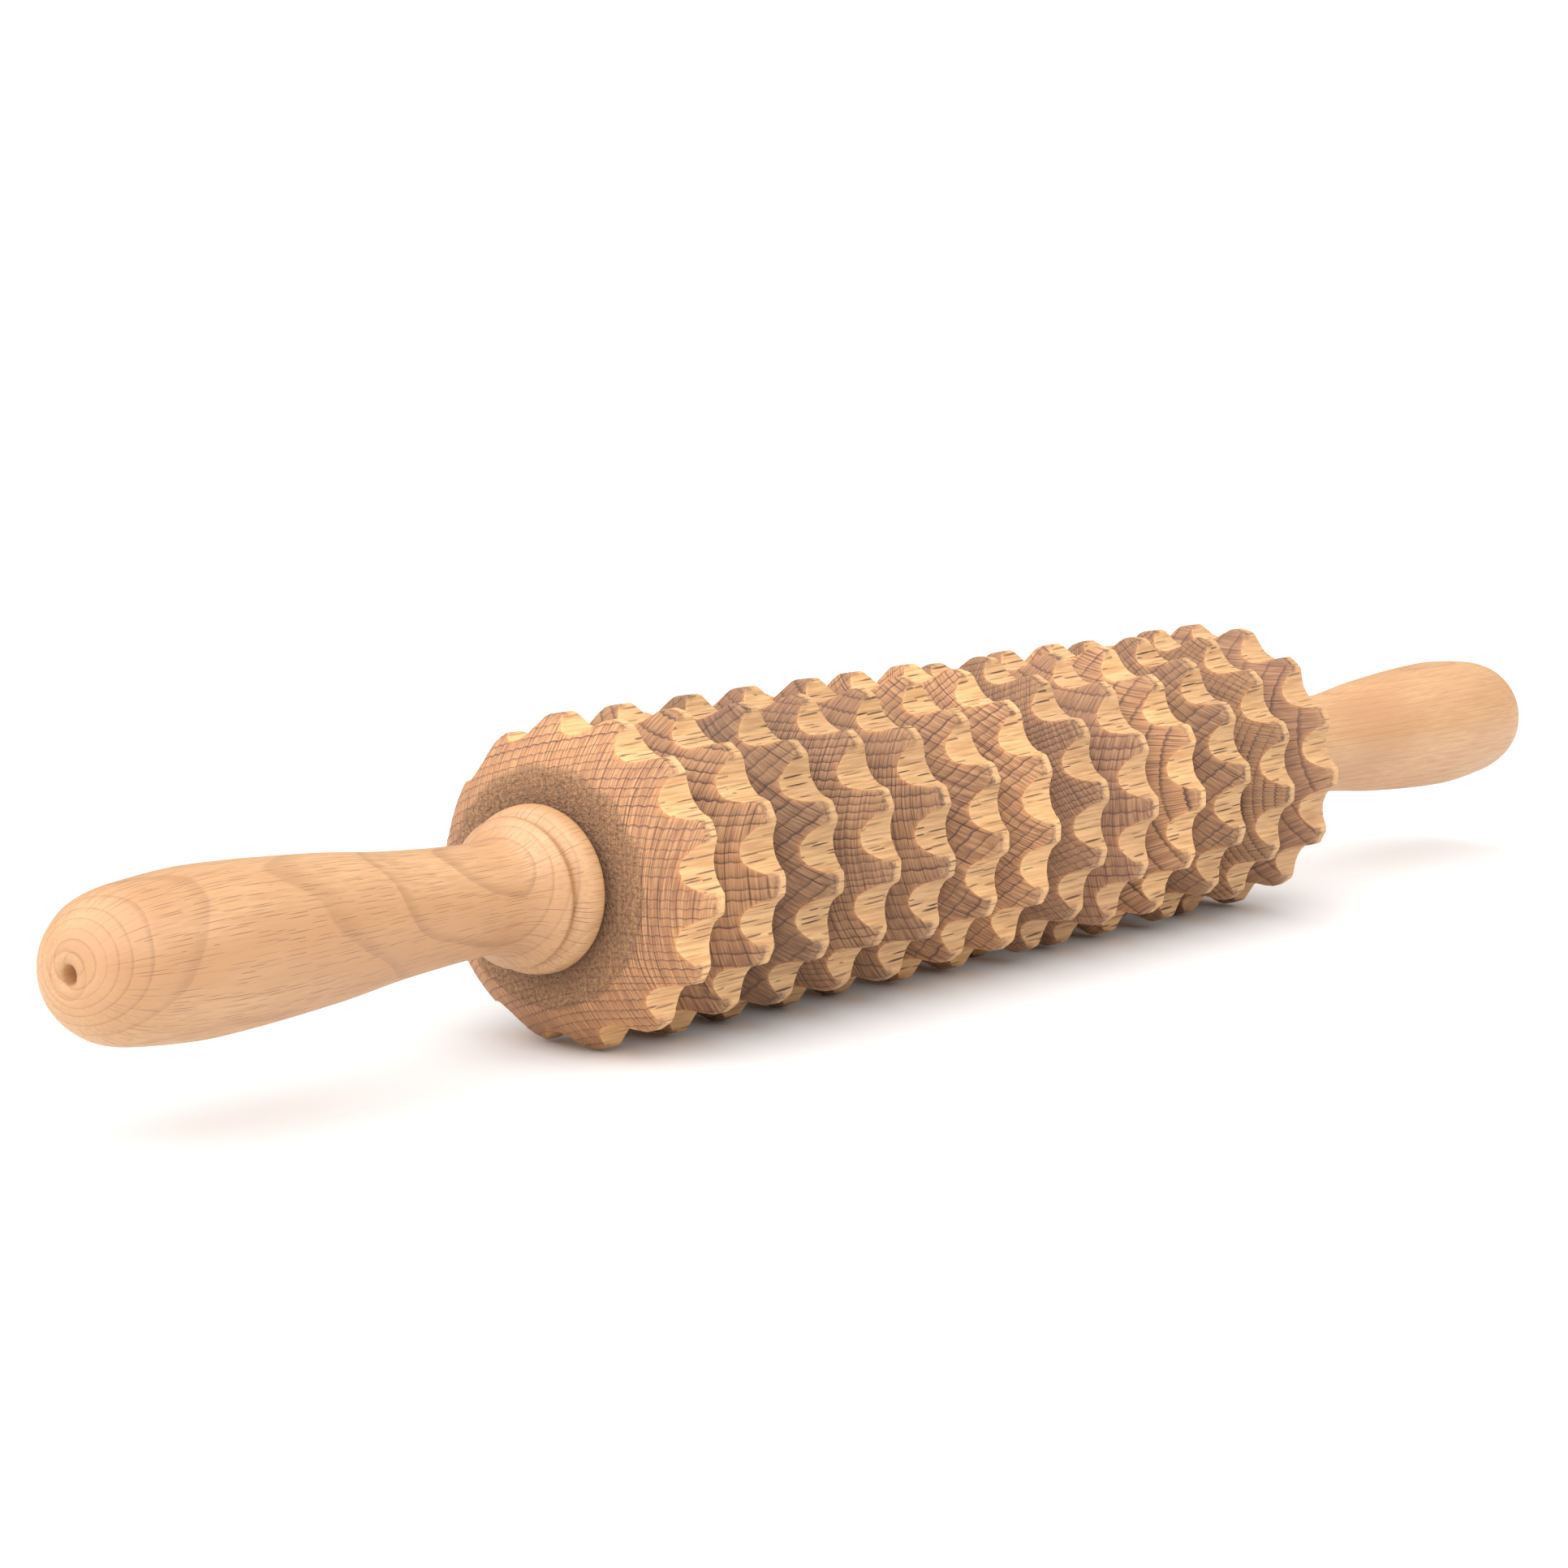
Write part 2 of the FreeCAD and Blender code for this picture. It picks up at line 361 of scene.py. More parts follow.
def makeDiscWood(name, wood):
    material, tree, shader = newMaterial(name)
    beech = beechNodes(tree, wood)
    mask = {part: readMask(tree, part) for part in ("flute", "sawn", "edge", "rim", "land", "across", "hubShade")}

    # end grain on the sloping faces
    cloud = remap(tree, beech["Cloud"], *discFinish["cloudRange"])
    endBase = blendColour(tree, cloud, wood["endDark"], wood["endLight"])
    endBase = stain(tree, endBase, wood["line"], beech["Season"], discFinish["seasonTint"])
    fineRay = remap(tree, beech["Fine Ray"], *discFinish["fineRayRange"], 0.0, discFinish["fineRayTint"])
    endBase = blendColour(tree, fineRay, endBase, wood["endPale"])
    endBase = stain(tree, endBase, wood["line"], beech["Ring"], wood["ringStrength"])
    endBase = stain(tree, endBase, wood["line"], beech["Ray"], wood["rayStrength"])

    # long grain in the flutes and on the crests
    fibre = remap(tree, beech["Fibre"], *discFinish["fibreRange"])
    longBase = blendColour(tree, fibre, wood["longDark"], wood["longLight"])
    longBase = stain(tree, longBase, wood["line"], beech["Ring"], discFinish["longRingTint"])
    longBase = stain(tree, longBase, wood["line"], beech["Dash"], wood["dash"])

    # the sawn ring round the bore, torn and furry
    place = addNode(tree, "ShaderNodeTexCoord").outputs["Object"]
    tear = noise(tree, place, discFinish["tearRate"], *discFinish["furNoise"])
    tuft = noise(tree, place, discFinish["tuftRate"], *discFinish["furNoise"])
    tuftPale = remap(tree, tuft, *discFinish["tuftRange"])
    sawnBase = blendColour(tree, tuftPale, wood["sawnDark"], wood["sawnPale"])
    ragged = calc(tree, "ADD", mask["sawn"], calc(tree, "MULTIPLY", tuft, discFinish["tuftReach"]))
    ragged = remap(tree, ragged, *discFinish["raggedRange"])

    # end grain runs on over the tooth tips and frays out pale; beside a flute it is warm
    frayed = calc(tree, "MULTIPLY_ADD", tear, discFinish["tearReach"], mask["across"])
    torn = remap(tree, frayed, *discFinish["tornRange"], kind="SMOOTHSTEP")
    tip = calc(tree, "MULTIPLY", mask["flute"], mask["land"])
    long = calc(tree, "MULTIPLY", tip, calc(tree, "SUBTRACT", 1.0, torn))
    long = calc(tree, "SUBTRACT", mask["flute"], long)
    warmEdge = calc(tree, "MULTIPLY", calc(tree, "POWER", mask["rim"], discFinish["rimPower"]),
                    calc(tree, "SUBTRACT", 1.0, mask["land"]))
    warmEdge = calc(tree, "MULTIPLY", warmEdge, calc(tree, "SUBTRACT", 1.0, mask["flute"]))
    fray = calc(tree, "MAXIMUM", calc(tree, "MULTIPLY", mask["edge"], discFinish["edgeFray"]),
                calc(tree, "MULTIPLY", tip, torn))
    fray = calc(tree, "MULTIPLY", fray, remap(tree, tear, *discFinish["tearRange"]))
    colour = blendColour(tree, long, endBase, longBase)
    colour = stain(tree, colour, sawnBase, ragged, discFinish["sawnTint"])
    colour = stain(tree, colour, wood["warmEdge"], warmEdge, discFinish["warmTint"])
    colour = stain(tree, colour, wood["sawnPale"], fray, discFinish["frayTint"])
    # painted shade: the left face is darkened round the bore, where the collar or the next disc stands close
    colour = stain(tree, colour, wood["line"], mask["hubShade"], discFinish["hubShadeTint"])
    roughness = remap(tree, beech["Fibre"], *discFinish["roughRange"], *discFinish["roughness"])
    feed(tree, shader.inputs["Base Color"], colour)
    feed(tree, shader.inputs["Roughness"], roughness)
    shader.inputs["Specular IOR Level"].default_value = discFinish["specular"]

    # relief: ring bands swell and end in a groove, rays and dashes are sunk, fibres stand up
    share = discFinish["relief"]
    swell = calc(tree, "SINE", calc(tree, "MULTIPLY", beech["Season"], math.pi))
    endRelief = calc(tree, "SUBTRACT", calc(tree, "MULTIPLY", swell, share["swell"]),
                     calc(tree, "MULTIPLY", beech["Ray"], share["ray"]))
    endRelief = calc(tree, "ADD", endRelief, calc(tree, "MULTIPLY", beech["Fine Ray"], share["fineRay"]))
    longRelief = calc(tree, "SUBTRACT", calc(tree, "MULTIPLY", beech["Fibre"], share["fibre"]),
                      calc(tree, "MULTIPLY", beech["Dash"], share["dash"]))
    relief = addNode(tree, "ShaderNodeMix", data_type="FLOAT")
    feed(tree, relief.inputs[0], long)
    feed(tree, relief.inputs[2], endRelief)
    feed(tree, relief.inputs[3], longRelief)
    fur = calc(tree, "MULTIPLY", calc(tree, "MULTIPLY", tuft, ragged), share["fur"])
    height = calc(tree, "ADD", calc(tree, "ADD", relief.outputs[0], fur),
                  calc(tree, "MULTIPLY", beech["Pore"], share["pore"]))
    addBump(tree, shader, height, discFinish["bumpStrength"], discFinish["bumpHeight"])
    return material


def makeTurnedWood(name, wood):
    material, tree, shader = newMaterial(name)
    beech = beechNodes(tree, wood)
    cloud = remap(tree, beech["Cloud"], *turnedFinish["cloudRange"])
    base = blendColour(tree, cloud, wood["longDark"], wood["longLight"])
    fibre = remap(tree, beech["Fibre"], *turnedFinish["fibreRange"], 0.0, turnedFinish["fibreTint"])
    base = blendColour(tree, fibre, base, wood["longDark"])
    base = stain(tree, base, wood["line"], beech["Season"], turnedFinish["seasonTint"])
    base = stain(tree, base, wood["line"], beech["Ring"], wood["ringStrength"])
    base = stain(tree, base, wood["line"], beech["Dash"], wood["dash"])
    roughness = remap(tree, beech["Fibre"], *turnedFinish["roughRange"], *turnedFinish["roughness"])
    feed(tree, shader.inputs["Base Color"], base)
    feed(tree, shader.inputs["Roughness"], roughness)
    shader.inputs["Specular IOR Level"].default_value = turnedFinish["specular"]
    share = turnedFinish["relief"]
    height = calc(tree, "ADD", calc(tree, "MULTIPLY", beech["Dash"], share["dash"]),
                  calc(tree, "MULTIPLY", beech["Fibre"], share["fibre"]))
    addBump(tree, shader, height, turnedFinish["bumpStrength"], turnedFinish["bumpHeight"])
    return material


# the toothed disc, as a rule: a grid wrapped round the axle

discShape = {
    "hub": 20.5 * mm,
    "crest": 30.0 * mm,
    "bore": 6.1 * mm,
    "leftShoulder": 9.2 * mm,
    "rightShoulder": 4.8 * mm,
    "teeth": 14,
    "leftBend": 0.65,
    "rightBend": 0.15,
    "fluteDepth": 3.4 * mm,
    "fluteOpening": 9.6 * mm,
    "fluteFullness": 2.5,             # a power: higher gives a wider floor and steeper sides
    "depthRange": (0.93, 1.07),
    "landRounding": 1.8 * mm,
    "landRange": (0.82, 1.05),        # parts of the half opening
    "shoulderPower": 1.9,
    "perTooth": 40,
    "edgeRounding": 0.28 * mm,
    "edgeSteps": 2,
    "edgeAngle": 22,
    "unevenness": 0.12 * mm,
    "broadRate": 160.0,               # per metre
    "fineRate": 1400.0,
    "edgeTear": 2.4,
}
faceRows, leftRows, floorRows, rightRows, boreRows = 7, 14, 8, 8, 2     # rows of the grid, from bore to bore
# the last pair gives the rows where the painted shade round the bore fades out
maskRows = {"sawnLeft": 2.5, "sawnRight": 1.5, "warmLeft": 3.0, "warmRight": 2.5, "hubShade": (4.5, 7.6)}


def makeDiscTree():
    tree = bpy.data.node_groups.new("toothedDisc", "GeometryNodeTree")
    newSockets(tree, "INPUT", "Geometry", "Geometry")
    newSockets(tree, "INPUT", "Float", "Left Face", "Turn", "Axle Height", "Hub", "Crest", "Bore", "Width",
               "Left Shoulder", "Right Shoulder", "Left Bend", "Right Bend", "Flute Depth", "Flute Opening",
               "Land Rounding", "Unevenness")
    newSockets(tree, "INPUT", "Int", "Teeth", "Per Tooth", "Seed")
    newSockets(tree, "INPUT", "Material", "Wood")
    newSockets(tree, "OUTPUT", "Geometry", "Geometry")
    given = addNode(tree, "NodeGroupInput").outputs
    rowTotal = faceRows + leftRows + floorRows + rightRows + faceRows + boreRows

    grid = addNode(tree, "GeometryNodeMeshGrid")
    grid.inputs["Size X"].default_value = 1.0
    grid.inputs["Size Y"].default_value = 1.0
    feed(tree, grid.inputs["Vertices X"], calc(tree, "MULTIPLY_ADD", given["Teeth"], given["Per Tooth"], 1.0))
    grid.inputs["Vertices Y"].default_value = rowTotal + 1
    split = addNode(tree, "ShaderNodeSeparateXYZ")
    feed(tree, split.inputs[0], addNode(tree, "GeometryNodeInputPosition").outputs[0])
    around = calc(tree, "ADD", split.outputs[0], 0.5)
    row = calc(tree, "MULTIPLY", calc(tree, "ADD", split.outputs[1], 0.5), float(rowTotal))

    # the tooth outline: a round-bottomed flute between two lands
    phase = calc(tree, "MULTIPLY", around, given["Teeth"])
    nudge = 0.0001     # a grid line between two flutes belongs to the next one
    fluteNumber = calc(tree, "MODULO", calc(tree, "FLOOR", calc(tree, "ADD", phase, nudge)), given["Teeth"])
    fromFlute = calc(tree, "ABSOLUTE", calc(tree, "SUBTRACT", calc(tree, "FRACT", phase), 0.5))
    toothWidth = calc(tree, "DIVIDE", calc(tree, "MULTIPLY", given["Crest"], math.tau), given["Teeth"])
    sideways = calc(tree, "MULTIPLY", fromFlute, toothWidth)
    vary = addNode(tree, "FunctionNodeRandomValue", data_type="FLOAT")
    vary.inputs[2].default_value, vary.inputs[3].default_value = discShape["depthRange"]
    feed(tree, vary.inputs["ID"], fluteNumber)
    feed(tree, vary.inputs["Seed"], given["Seed"])
    depth = calc(tree, "MULTIPLY", given["Flute Depth"], vary.outputs[1])
    part = calc(tree, "DIVIDE", calc(tree, "MULTIPLY", sideways, 2.0), given["Flute Opening"])
    hollow = calc(tree, "SUBTRACT", 1.0, calc(tree, "POWER", part, discShape["fluteFullness"]))
    land = remap(tree, part, *discShape["landRange"], kind="SMOOTHSTEP")
    fluteFloor = calc(tree, "SUBTRACT", given["Crest"], calc(tree, "MULTIPLY", depth, hollow))
    reach = calc(tree, "SMOOTH_MIN", fluteFloor, given["Crest"], given["Land Rounding"])

    def share(first, count):
        return remap(tree, row, float(first), float(first + count))

    marks = [0, faceRows, faceRows + leftRows, faceRows + leftRows + floorRows,
             faceRows + leftRows + floorRows + rightRows, 2 * faceRows + leftRows + floorRows + rightRows]
    faceUp = share(marks[0], faceRows)
    leftUp = share(marks[1], leftRows)
    over = share(marks[2], floorRows)
    rightDown = share(marks[3], rightRows)
    faceDown = share(marks[4], faceRows)
    boreBack = share(marks[5], boreRows)

    shoulderRise = calc(tree, "SUBTRACT", given["Crest"], given["Hub"])
    toothRise = calc(tree, "SUBTRACT", reach, given["Hub"])
    faceRise = calc(tree, "SUBTRACT", given["Hub"], given["Bore"])

    def shoulderWidth(side, height):
        # how far along the axle a shoulder has come at this height: steep by the hub, gentle by the crest
        part = calc(tree, "DIVIDE", height, shoulderRise, clamp=True)
        bend = given[side + " Bend"]
        bent = calc(tree, "MULTIPLY", calc(tree, "POWER", part, discShape["shoulderPower"]), bend)
        straight = calc(tree, "MULTIPLY", part, calc(tree, "SUBTRACT", 1.0, bend))
        return calc(tree, "MULTIPLY", given[side + " Shoulder"], calc(tree, "ADD", bent, straight))

    leftX = shoulderWidth("Left", calc(tree, "MULTIPLY", toothRise, leftUp))
    leftEdge = shoulderWidth("Left", toothRise)
    stillUp = calc(tree, "MULTIPLY", toothRise, calc(tree, "SUBTRACT", 1.0, rightDown))
    rightX = calc(tree, "SUBTRACT", given["Width"], shoulderWidth("Right", stillUp))
    rightEdge = calc(tree, "SUBTRACT", given["Width"], shoulderWidth("Right", toothRise))
    x = calc(tree, "ADD", leftX, calc(tree, "MULTIPLY", calc(tree, "SUBTRACT", rightEdge, leftEdge), over))
    x = calc(tree, "ADD", x, calc(tree, "SUBTRACT", rightX, rightEdge))
    x = calc(tree, "SUBTRACT", x, calc(tree, "MULTIPLY", given["Width"], boreBack))
    radius = calc(tree, "MULTIPLY_ADD", faceRise, faceUp, given["Bore"])
    onTooth = calc(tree, "SUBTRACT", leftUp, rightDown)
    radius = calc(tree, "ADD", radius, calc(tree, "MULTIPLY", toothRise, onTooth))
    radius = calc(tree, "SUBTRACT", radius, calc(tree, "MULTIPLY", faceRise, faceDown))

    angle = calc(tree, "MULTIPLY_ADD", around, math.tau, given["Turn"])
    y = calc(tree, "MULTIPLY", calc(tree, "MULTIPLY", radius, calc(tree, "SINE", angle)), -1.0)
    z = calc(tree, "MULTIPLY_ADD", radius, calc(tree, "COSINE", angle), given["Axle Height"])

    kept = addNode(tree, "GeometryNodeCaptureAttribute", domain="POINT")
    kept.capture_items.new("FLOAT", "row")
    kept.capture_items.new("FLOAT", "land")
    tree.links.new(grid.outputs["Mesh"], kept.inputs[0])
    feed(tree, kept.inputs[1], row)
    feed(tree, kept.inputs[2], land)
    wrapped = addNode(tree, "GeometryNodeSetPosition")
    tree.links.new(kept.outputs[0], wrapped.inputs["Geometry"])
    feed(tree, wrapped.inputs["Position"], joinXyz(tree, calc(tree, "ADD", x, given["Left Face"]), y, z))
    closed = addNode(tree, "GeometryNodeMergeByDistance")
    tree.links.new(wrapped.outputs[0], closed.inputs["Geometry"])
    closed.inputs["Distance"].default_value = 0.01 * mm

    # masks for the finish and for the painted shade round the bore, and the flutes' a face at a time so that
    # its border stays crisp
    rowHere = kept.outputs[1]
    onFloor = calc(tree, "MULTIPLY", calc(tree, "GREATER_THAN", rowHere, float(marks[2])),
                   calc(tree, "LESS_THAN", rowHere, float(marks[3])))
    leftFace = remap(tree, rowHere, float(marks[1]), marks[1] + maskRows["sawnLeft"], 1.0, 0.0)
    rightFace = remap(tree, rowHere, marks[4] - maskRows["sawnRight"], float(marks[4]))
    onFace = calc(tree, "MAXIMUM", leftFace, rightFace)
    nearLeft = calc(tree, "COMPARE", rowHere, float(marks[2]), 0.5)
    nearRight = calc(tree, "COMPARE", rowHere, float(marks[3]), 0.5)
    nearEdge = calc(tree, "MAXIMUM", nearLeft, nearRight)
    warmLeft = remap(tree, rowHere, marks[2] - maskRows["warmLeft"], float(marks[2]))
    warmRight = remap(tree, rowHere, float(marks[3]), marks[3] + maskRows["warmRight"], 1.0, 0.0)
    masks = {
        "flute": onFloor,
        "sawn": onFace,
        "edge": nearEdge,
        "rim": calc(tree, "MULTIPLY", warmLeft, warmRight),
        "land": kept.outputs[2],
        "across": remap(tree, rowHere, float(marks[2]), float(marks[3])),
        # painted shade round the bore: full just outside the collar, gone just past the hub
        "hubShade": remap(tree, rowHere, *maskRows["hubShade"], 1.0, 0.0),
    }
    shape = closed.outputs[0]
    for name, value in masks.items():
        domain = "FACE" if name == "flute" else "POINT"
        store = addNode(tree, "GeometryNodeStoreNamedAttribute", data_type="FLOAT", domain=domain)
        tree.links.new(shape, store.inputs["Geometry"])
        store.inputs["Name"].default_value = name
        feed(tree, store.inputs["Value"], value)
        shape = store.outputs[0]

    # hand work: nothing is quite even, and the cut edges least of all
    placeNow = addNode(tree, "GeometryNodeInputPosition").outputs[0]
    normalNow = addNode(tree, "GeometryNodeInputNormal").outputs[0]
    broad = calc(tree, "SUBTRACT", noise(tree, placeNow, discShape["broadRate"], 2.0), 0.5)
    fine = calc(tree, "SUBTRACT", noise(tree, placeNow, discShape["fineRate"], 1.0), 0.5)
    torn = calc(tree, "MULTIPLY", calc(tree, "MULTIPLY", nearEdge, fine), discShape["edgeTear"])
    shift = calc(tree, "MULTIPLY", calc(tree, "ADD", broad, torn), given["Unevenness"])
    offset = addNode(tree, "ShaderNodeVectorMath", operation="SCALE")
    feed(tree, offset.inputs[0], normalNow)
    feed(tree, offset.inputs["Scale"], shift)
    worn = addNode(tree, "GeometryNodeSetPosition")
    tree.links.new(shape, worn.inputs["Geometry"])
    feed(tree, worn.inputs["Offset"], offset.outputs[0])

    smooth = addNode(tree, "GeometryNodeSetShadeSmooth")
    tree.links.new(worn.outputs[0], smooth.inputs["Geometry"])
    real = addNode(tree, "GeometryNodeRealizeInstances")
    tree.links.new(smooth.outputs[0], real.inputs["Geometry"])
    painted = addNode(tree, "GeometryNodeSetMaterial")
    tree.links.new(real.outputs[0], painted.inputs["Geometry"])
    feed(tree, painted.inputs["Material"], given["Wood"])
    out = addNode(tree, "NodeGroupOutput")
    tree.links.new(painted.outputs[0], out.inputs[0])
    return tree


def setInputs(modifier, values):
    sockets = {item.name: item.identifier for item in modifier.node_group.interface.items_tree
               if item.in_out == "INPUT"}
    for name, value in values.items():
        modifier[sockets[name]] = value


def freeze(piece):
    # the evaluated shape becomes the piece's own plain mesh
    depsgraph = bpy.context.evaluated_depsgraph_get()
    mesh = bpy.data.meshes.new_from_object(piece.evaluated_get(depsgraph), preserve_all_data_layers=True,
                                           depsgraph=depsgraph)
    piece.modifiers.clear()
    piece.data = mesh


def toothTurn(node):
    # where the teeth point, as an angle from the top towards -Y, found from the vertices on the crest
    sines = cosines = 0.0
    for vertex in frame["nodes"][node].data.vertices:
        along, y, z = vertex.co
        if math.hypot(y, z - axleHeight) > discShape["crest"] - 0.02 * mm:
            around = discShape["teeth"] * math.atan2(-y, z - axleHeight)
            sines += math.sin(around)
            cosines += math.cos(around)
    return math.atan2(sines, cosines) / discShape["teeth"]


def makeDisc(number, node, tree, material):
    low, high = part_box(node)
    piece = bpy.data.objects.new("toothedDisc%02d" % number, bpy.data.meshes.new("toothedDisc%02d" % number))
    bpy.context.scene.collection.objects.link(piece)
    shaper = piece.modifiers.new("shape", "NODES")
    shaper.node_group = tree
    setInputs(shaper, {
        "Left Face": low[0], "Turn": toothTurn(node), "Axle Height": axleHeight,
        "Width": high[0] - low[0],
        "Hub": discShape["hub"], "Crest": discShape["crest"], "Bore": discShape["bore"],
        "Left Shoulder": discShape["leftShoulder"], "Right Shoulder": discShape["rightShoulder"],
        "Left Bend": discShape["leftBend"], "Right Bend": discShape["rightBend"],
        "Teeth": discShape["teeth"], "Flute Depth": discShape["fluteDepth"],
        "Flute Opening": discShape["fluteOpening"], "Land Rounding": discShape["landRounding"],
        "Per Tooth": discShape["perTooth"], "Unevenness": discShape["unevenness"], "Seed": number,
        "Wood": material,
    })
    bevel = piece.modifiers.new("edges", "BEVEL")
    bevel.width = discShape["edgeRounding"]
    bevel.segments = discShape["edgeSteps"]
    bevel.limit_method = "ANGLE"
    bevel.angle_limit = math.radians(discShape["edgeAngle"])
    freeze(piece)
    return piece


# the handle, turned on a lathe: distances from its tip, and radii, in millimetres

handleShape = {
    "tipHole": [(6.0, 0.0), (5.4, 1.2), (0.9, 1.5), (0.0, 2.0)],
    "pressedRing": [(0.0, 3.6), (0.22, 3.85), (0.0, 4.1)],
    "grip": [(0.0, 4.6), (0.6, 6.6), (2.4, 9.2), (7.5, 12.1), (16.0, 13.4), (30.0, 14.1), (58.0, 12.7),
             (77.0, 10.9), (99.5, 9.8), (104.5, 10.6), (108.3, 13.3)],
    "collar": [(109.0, 13.4), (109.8, 12.0), (110.6, 13.2), (112.5, 14.6), (115.1, 15.0), (116.0, 14.8),
               (116.5, 14.2)],
    "socketRadius": 6.0,
    "socketDepth": 32.0,
    "around": 192,
    "step": 0.8,
}


def smoothLine(points, step):
    # a soft curve through the points, by cubic pieces whose slopes come from their neighbours
    slopes = []
    for index in range(len(points)):
        before = points[max(index - 1, 0)]
        after = points[min(index + 1, len(points) - 1)]
        slopes.append(((after[0] - before[0]), (after[1] - before[1])))
    line = []
    for index in range(len(points) - 1):
        start, end = Vector(points[index]), Vector(points[index + 1])
        length = (end - start).length
        startPull = Vector(slopes[index]).normalized() * length
        endPull = Vector(slopes[index + 1]).normalized() * length
        pieces = max(2, round(length / step))
        for part in range(pieces):
            t = part / pieces
            line.append(start * (2 * t ** 3 - 3 * t ** 2 + 1) + startPull * (t ** 3 - 2 * t ** 2 + t)
                        + end * (-2 * t ** 3 + 3 * t ** 2) + endPull * (t ** 3 - t ** 2))
    line.append(Vector(points[-1]))
    return line


def makeHandle(name, node, side, material):
    low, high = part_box(node)
    tip = low[0] if side < 0 else high[0]
    outline = [Vector(point) for point in handleShape["tipHole"] + handleShape["pressedRing"]]
    outline += smoothLine(handleShape["grip"], handleShape["step"])
    outline += smoothLine(handleShape["collar"], handleShape["step"] / 2)
    length = outline[-1][0]
    socketRadius, socketEnd = handleShape["socketRadius"], length - handleShape["socketDepth"]
    outline += [Vector((length, socketRadius)), Vector((socketEnd, socketRadius)), Vector((socketEnd, 0.0))]
    turned = bmesh.new()
    rings = []
    for along, radius in outline:
        ring = []
        for step in range(handleShape["around"]):
            angle = math.tau * step / handleShape["around"]
            ring.append(turned.verts.new((tip - side * along * mm, radius * mm * math.cos(angle),
                                          axleHeight + radius * mm * math.sin(angle))))
        rings.append(ring)
    for ring, following in zip(rings, rings[1:]):
        for step in range(handleShape["around"]):
            after = (step + 1) % handleShape["around"]
            turned.faces.new((ring[step], ring[after], following[after], following[step]))
    bmesh.ops.remove_doubles(turned, verts=turned.verts, dist=0.02 * mm)
    bmesh.ops.recalc_face_normals(turned, faces=turned.faces)
    for face in turned.faces:
        face.smooth = True
    mesh = bpy.data.meshes.new(name)
    turned.to_mesh(mesh)
    turned.free()
    mesh.materials.append(material)
    piece = bpy.data.objects.new(name, mesh)
    bpy.context.scene.collection.objects.link(piece)
    return piece


# finishes

discWoods = [
    {"pithAngle": -75, "pithAway": 95, "ringGap": 1.6, "rayGap": 0.9, "dash": 0.77, "tone": 1.27, "warm": 0.3},
    {"pithAngle": 75, "pithAway": 80, "ringGap": 2.2, "rayGap": 1.5, "dash": 0.7, "tone": 0.92, "warm": 0.1},
    {"pithAngle": 125, "pithAway": 60, "ringGap": 2.4, "rayGap": 1.7, "dash": 1, "tone": 0.60, "warm": 0.1},
    {"pithAngle": 85, "pithAway": 110, "ringGap": 1.5, "rayGap": 1.0, "dash": 0.7, "tone": 0.73, "warm": 0.2},
    {"pithAngle": 80, "pithAway": 70, "ringGap": 2.2, "rayGap": 1.4, "dash": 1, "tone": 0.71, "warm": 0.3},
    {"pithAngle": 140, "pithAway": 90, "ringGap": 1.9, "rayGap": 1.6, "dash": 0.7, "tone": 0.94, "warm": 0.0},
    {"pithAngle": 130, "pithAway": 75, "ringGap": 1.8, "rayGap": 1.2, "dash": 0.77, "tone": 1.14, "warm": 0.0},
    {"pithAngle": 100, "pithAway": 65, "ringGap": 1.3, "rayGap": 0.9, "dash": 0.96, "tone": 0.72, "warm": 0.4},
    {"pithAngle": 75, "pithAway": 85, "ringGap": 2.2, "rayGap": 1.3, "dash": 0.83, "tone": 0.82, "warm": 0.8},
    {"pithAngle": 10, "pithAway": 70, "ringGap": 3.4, "rayGap": 1.6, "dash": 0.83, "tone": 1.12, "warm": 0.1},
    {"pithAngle": 125, "pithAway": 60, "ringGap": 2.2, "rayGap": 1.4, "dash": 1, "tone": 0.72, "warm": 0.2},
    {"pithAngle": 0, "pithAway": 75, "ringGap": 1.5, "rayGap": 1.0, "dash": 0.7, "tone": 0.76, "warm": 0.1},
    {"pithAngle": 15, "pithAway": 95, "ringGap": 3.8, "rayGap": 1.8, "dash": 0.51, "tone": 0.78, "warm": 0.7},
]
beechColours = {
    "endDark": tint(139, 94, 64),
    "endLight": tint(172, 121, 79),
    "endPale": tint(204, 155, 106),
    "longDark": tint(200, 151, 99),
    "longLight": tint(224, 180, 127),
    "warmEdge": tint(222, 142, 72),
    "sawnDark": tint(124, 84, 58),
    "sawnPale": tint(222, 176, 124),
    "line": tint(80, 46, 31),
}
pinkish = tint(206, 150, 124)
discCut = {"ringWander": 4.0, "ringStrength": 1.0, "rayStrength": 0.9, "grainSlope": 0.0}
scallopDepth = 0.22     # of a ring line, in millimetres
seedStep = 7.31
pinkShare = 0.12


def woodSettings(disc, number):
    wood = dict(disc, seed=number * seedStep, scallop=scallopDepth / disc["ringGap"], **discCut)
    for name, colour in beechColours.items():
        tone = disc["tone"] if name.startswith("end") else 0.5 + disc["tone"] / 2
        shaded = [channel * tone for channel in colour[:3]]
        pinkness = pinkShare * disc["warm"]
        warmed = [channel + (pink - channel) * pinkness for channel, pink in zip(shaded, pinkish)]
        wood[name] = (*warmed, 1.0)
    return wood


handleWood = {
    "pithAngle": 40, "pithAway": 1.5, "ringGap": 1.7, "ringWander": 4.0, "scallop": 0.0, "rayGap": 1.3,
    "grainSlope": 0.004, "ringStrength": 0.32, "dash": 0.75,
    "longDark": tint(188, 139, 94), "longLight": tint(210, 167, 121), "line": tint(112, 68, 42),
}

discTree = makeDiscTree()
for number, node in enumerate(discNodes, 1):
    wood = makeDiscWood("discBeech%02d" % number, woodSettings(discWoods[number - 1], number))
    disc = makeDisc(number, node, discTree, wood)
    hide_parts(node)
    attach(disc, bodyOfNode[node])
print("discs made", len(discNodes))

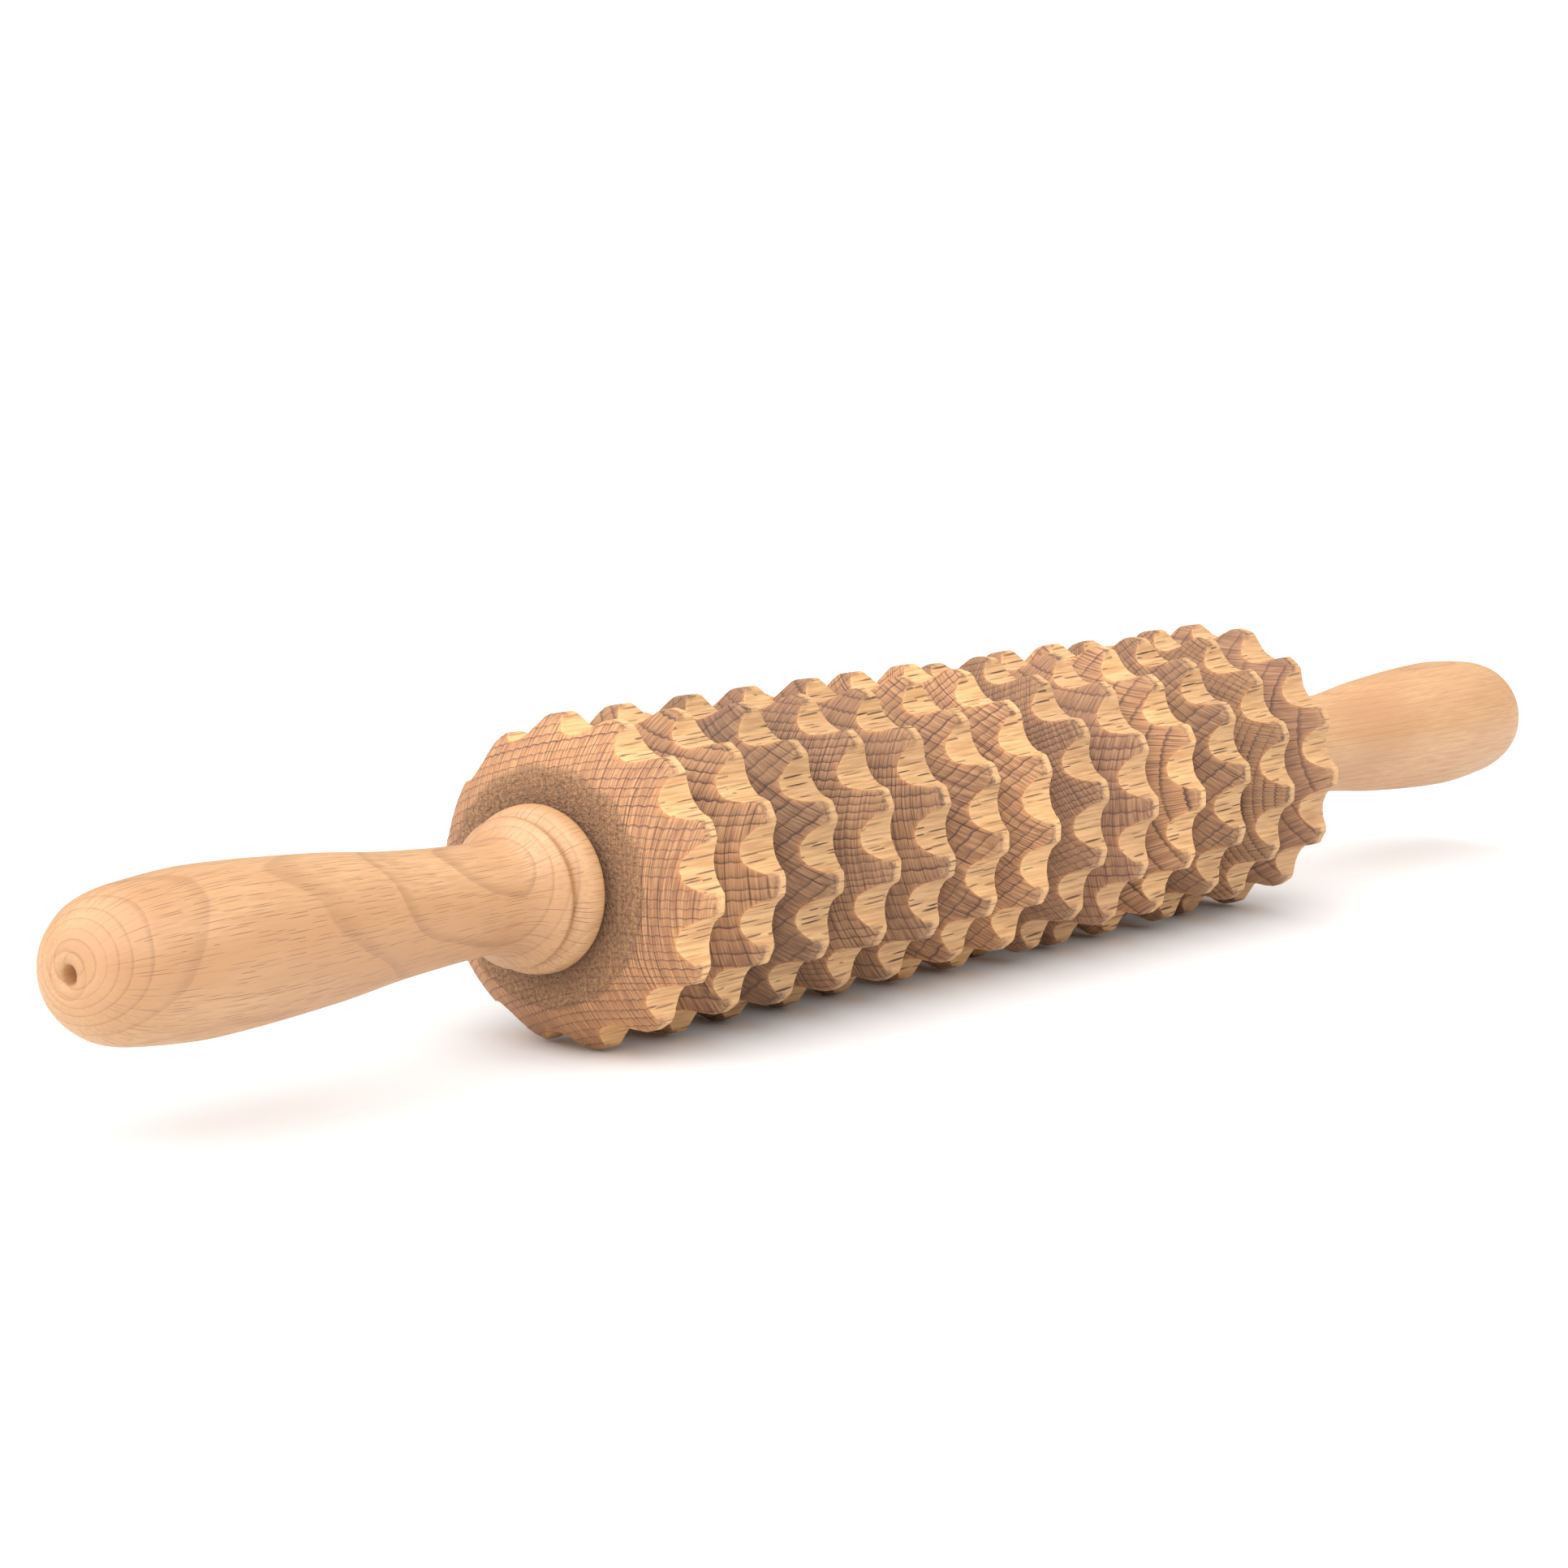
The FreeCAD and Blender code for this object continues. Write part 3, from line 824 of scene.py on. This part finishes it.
quarterSawn = {
    "pithAngle": 90, "pithAway": 60, "ringGap": 1.3, "ringWander": 2.0, "ringStrength": 0.2, "dash": 0.2,
}
handleCuts = (
    ("leftGrip", "left_handle", -1, dict(handleWood, seed=3.7)),
    ("rightGrip", "right_handle", 1, dict(handleWood, **quarterSawn, seed=9.2)),
)
for name, node, side, cut in handleCuts:
    wood = makeTurnedWood(name + "Beech", cut)
    grip = makeHandle(name, node, side, wood)
    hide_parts(node)
    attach(grip, bodyOfNode[node])
frame["nodes"]["axle"].data.materials.clear()
frame["nodes"]["axle"].data.materials.append(makeTurnedWood("dowelBeech", dict(handleWood, seed=5.5)))
print("handles and axle made")


# floor, light and camera

floorLook = {"size": 60, "colour": (0.8, 0.8, 0.8, 1.0), "roughness": 0.9}


def makeFloor():
    material, tree, shader = newMaterial("paleFloor")
    shader.inputs["Base Color"].default_value = floorLook["colour"]
    shader.inputs["Roughness"].default_value = floorLook["roughness"]
    bpy.ops.mesh.primitive_plane_add(size=floorLook["size"], location=(0, 0, 0))
    floor = bpy.context.object
    floor.name = "floor"
    floor.data.materials.append(material)


studioLights = {
    "overhead": {"from": (-0.6, 0.15, 1.0), "spread": 105, "strength": 4.6},
    "front": {"from": (0.3, -1.0, 0.9), "spread": 60, "strength": 1.2},
}
skyStrength = 0.38
skySeen = 1.1     # where the camera looks straight at it


def makeLights():
    for name, settings in studioLights.items():
        light = bpy.data.lights.new(name, "SUN")
        light.energy = settings["strength"]
        light.angle = math.radians(settings["spread"])
        lamp = bpy.data.objects.new(name, light)
        bpy.context.scene.collection.objects.link(lamp)
        lamp.rotation_euler = Vector(settings["from"]).to_track_quat("Z", "Y").to_euler()

    sky = bpy.data.worlds.new("studio")
    sky.use_nodes = True
    tree = sky.node_tree
    seen = addNode(tree, "ShaderNodeLightPath").outputs["Is Camera Ray"]
    glow = tree.nodes["Background"]
    glow.inputs["Color"].default_value = (1.0, 1.0, 1.0, 1.0)
    feed(tree, glow.inputs["Strength"], remap(tree, seen, 0.0, 1.0, skyStrength, skySeen))
    bpy.context.scene.world = sky


viewpoint = {
    "azimuth": -54.32,
    "elevation": 8.57,
    "roll": 2.17,
    "distance": 0.880,
    "lens": 108.0,
    "sensor": 36.0,
    "nearest": 0.01,
    "aim": (-0.0463, 0.0005, 0.0111),     # from the middle of the axle
}


def makeCamera():
    azimuth, elevation = math.radians(viewpoint["azimuth"]), math.radians(viewpoint["elevation"])
    back = Vector((math.sin(azimuth) * math.cos(elevation), -math.cos(azimuth) * math.cos(elevation),
                   math.sin(elevation)))
    right = Vector((0, 0, 1)).cross(back).normalized()
    up = back.cross(right)
    turn = math.radians(viewpoint["roll"])
    rightTurned = right * math.cos(turn) + up * math.sin(turn)
    upTurned = up * math.cos(turn) - right * math.sin(turn)
    aim = Vector(viewpoint["aim"]) + Vector((0, 0, axleHeight))
    lens = bpy.data.cameras.new("view")
    lens.lens = viewpoint["lens"]
    lens.sensor_width = viewpoint["sensor"]
    lens.clip_start = viewpoint["nearest"]
    camera = bpy.data.objects.new("view", lens)
    bpy.context.scene.collection.objects.link(camera)
    axes = Matrix((rightTurned, upTurned, back)).transposed()
    camera.matrix_world = Matrix.Translation(aim + back * viewpoint["distance"]) @ axes.to_4x4()
    bpy.context.scene.camera = camera


makeFloor()
makeLights()
bpy.context.scene.view_settings.view_transform = "Standard"
makeCamera()
print("stage set")
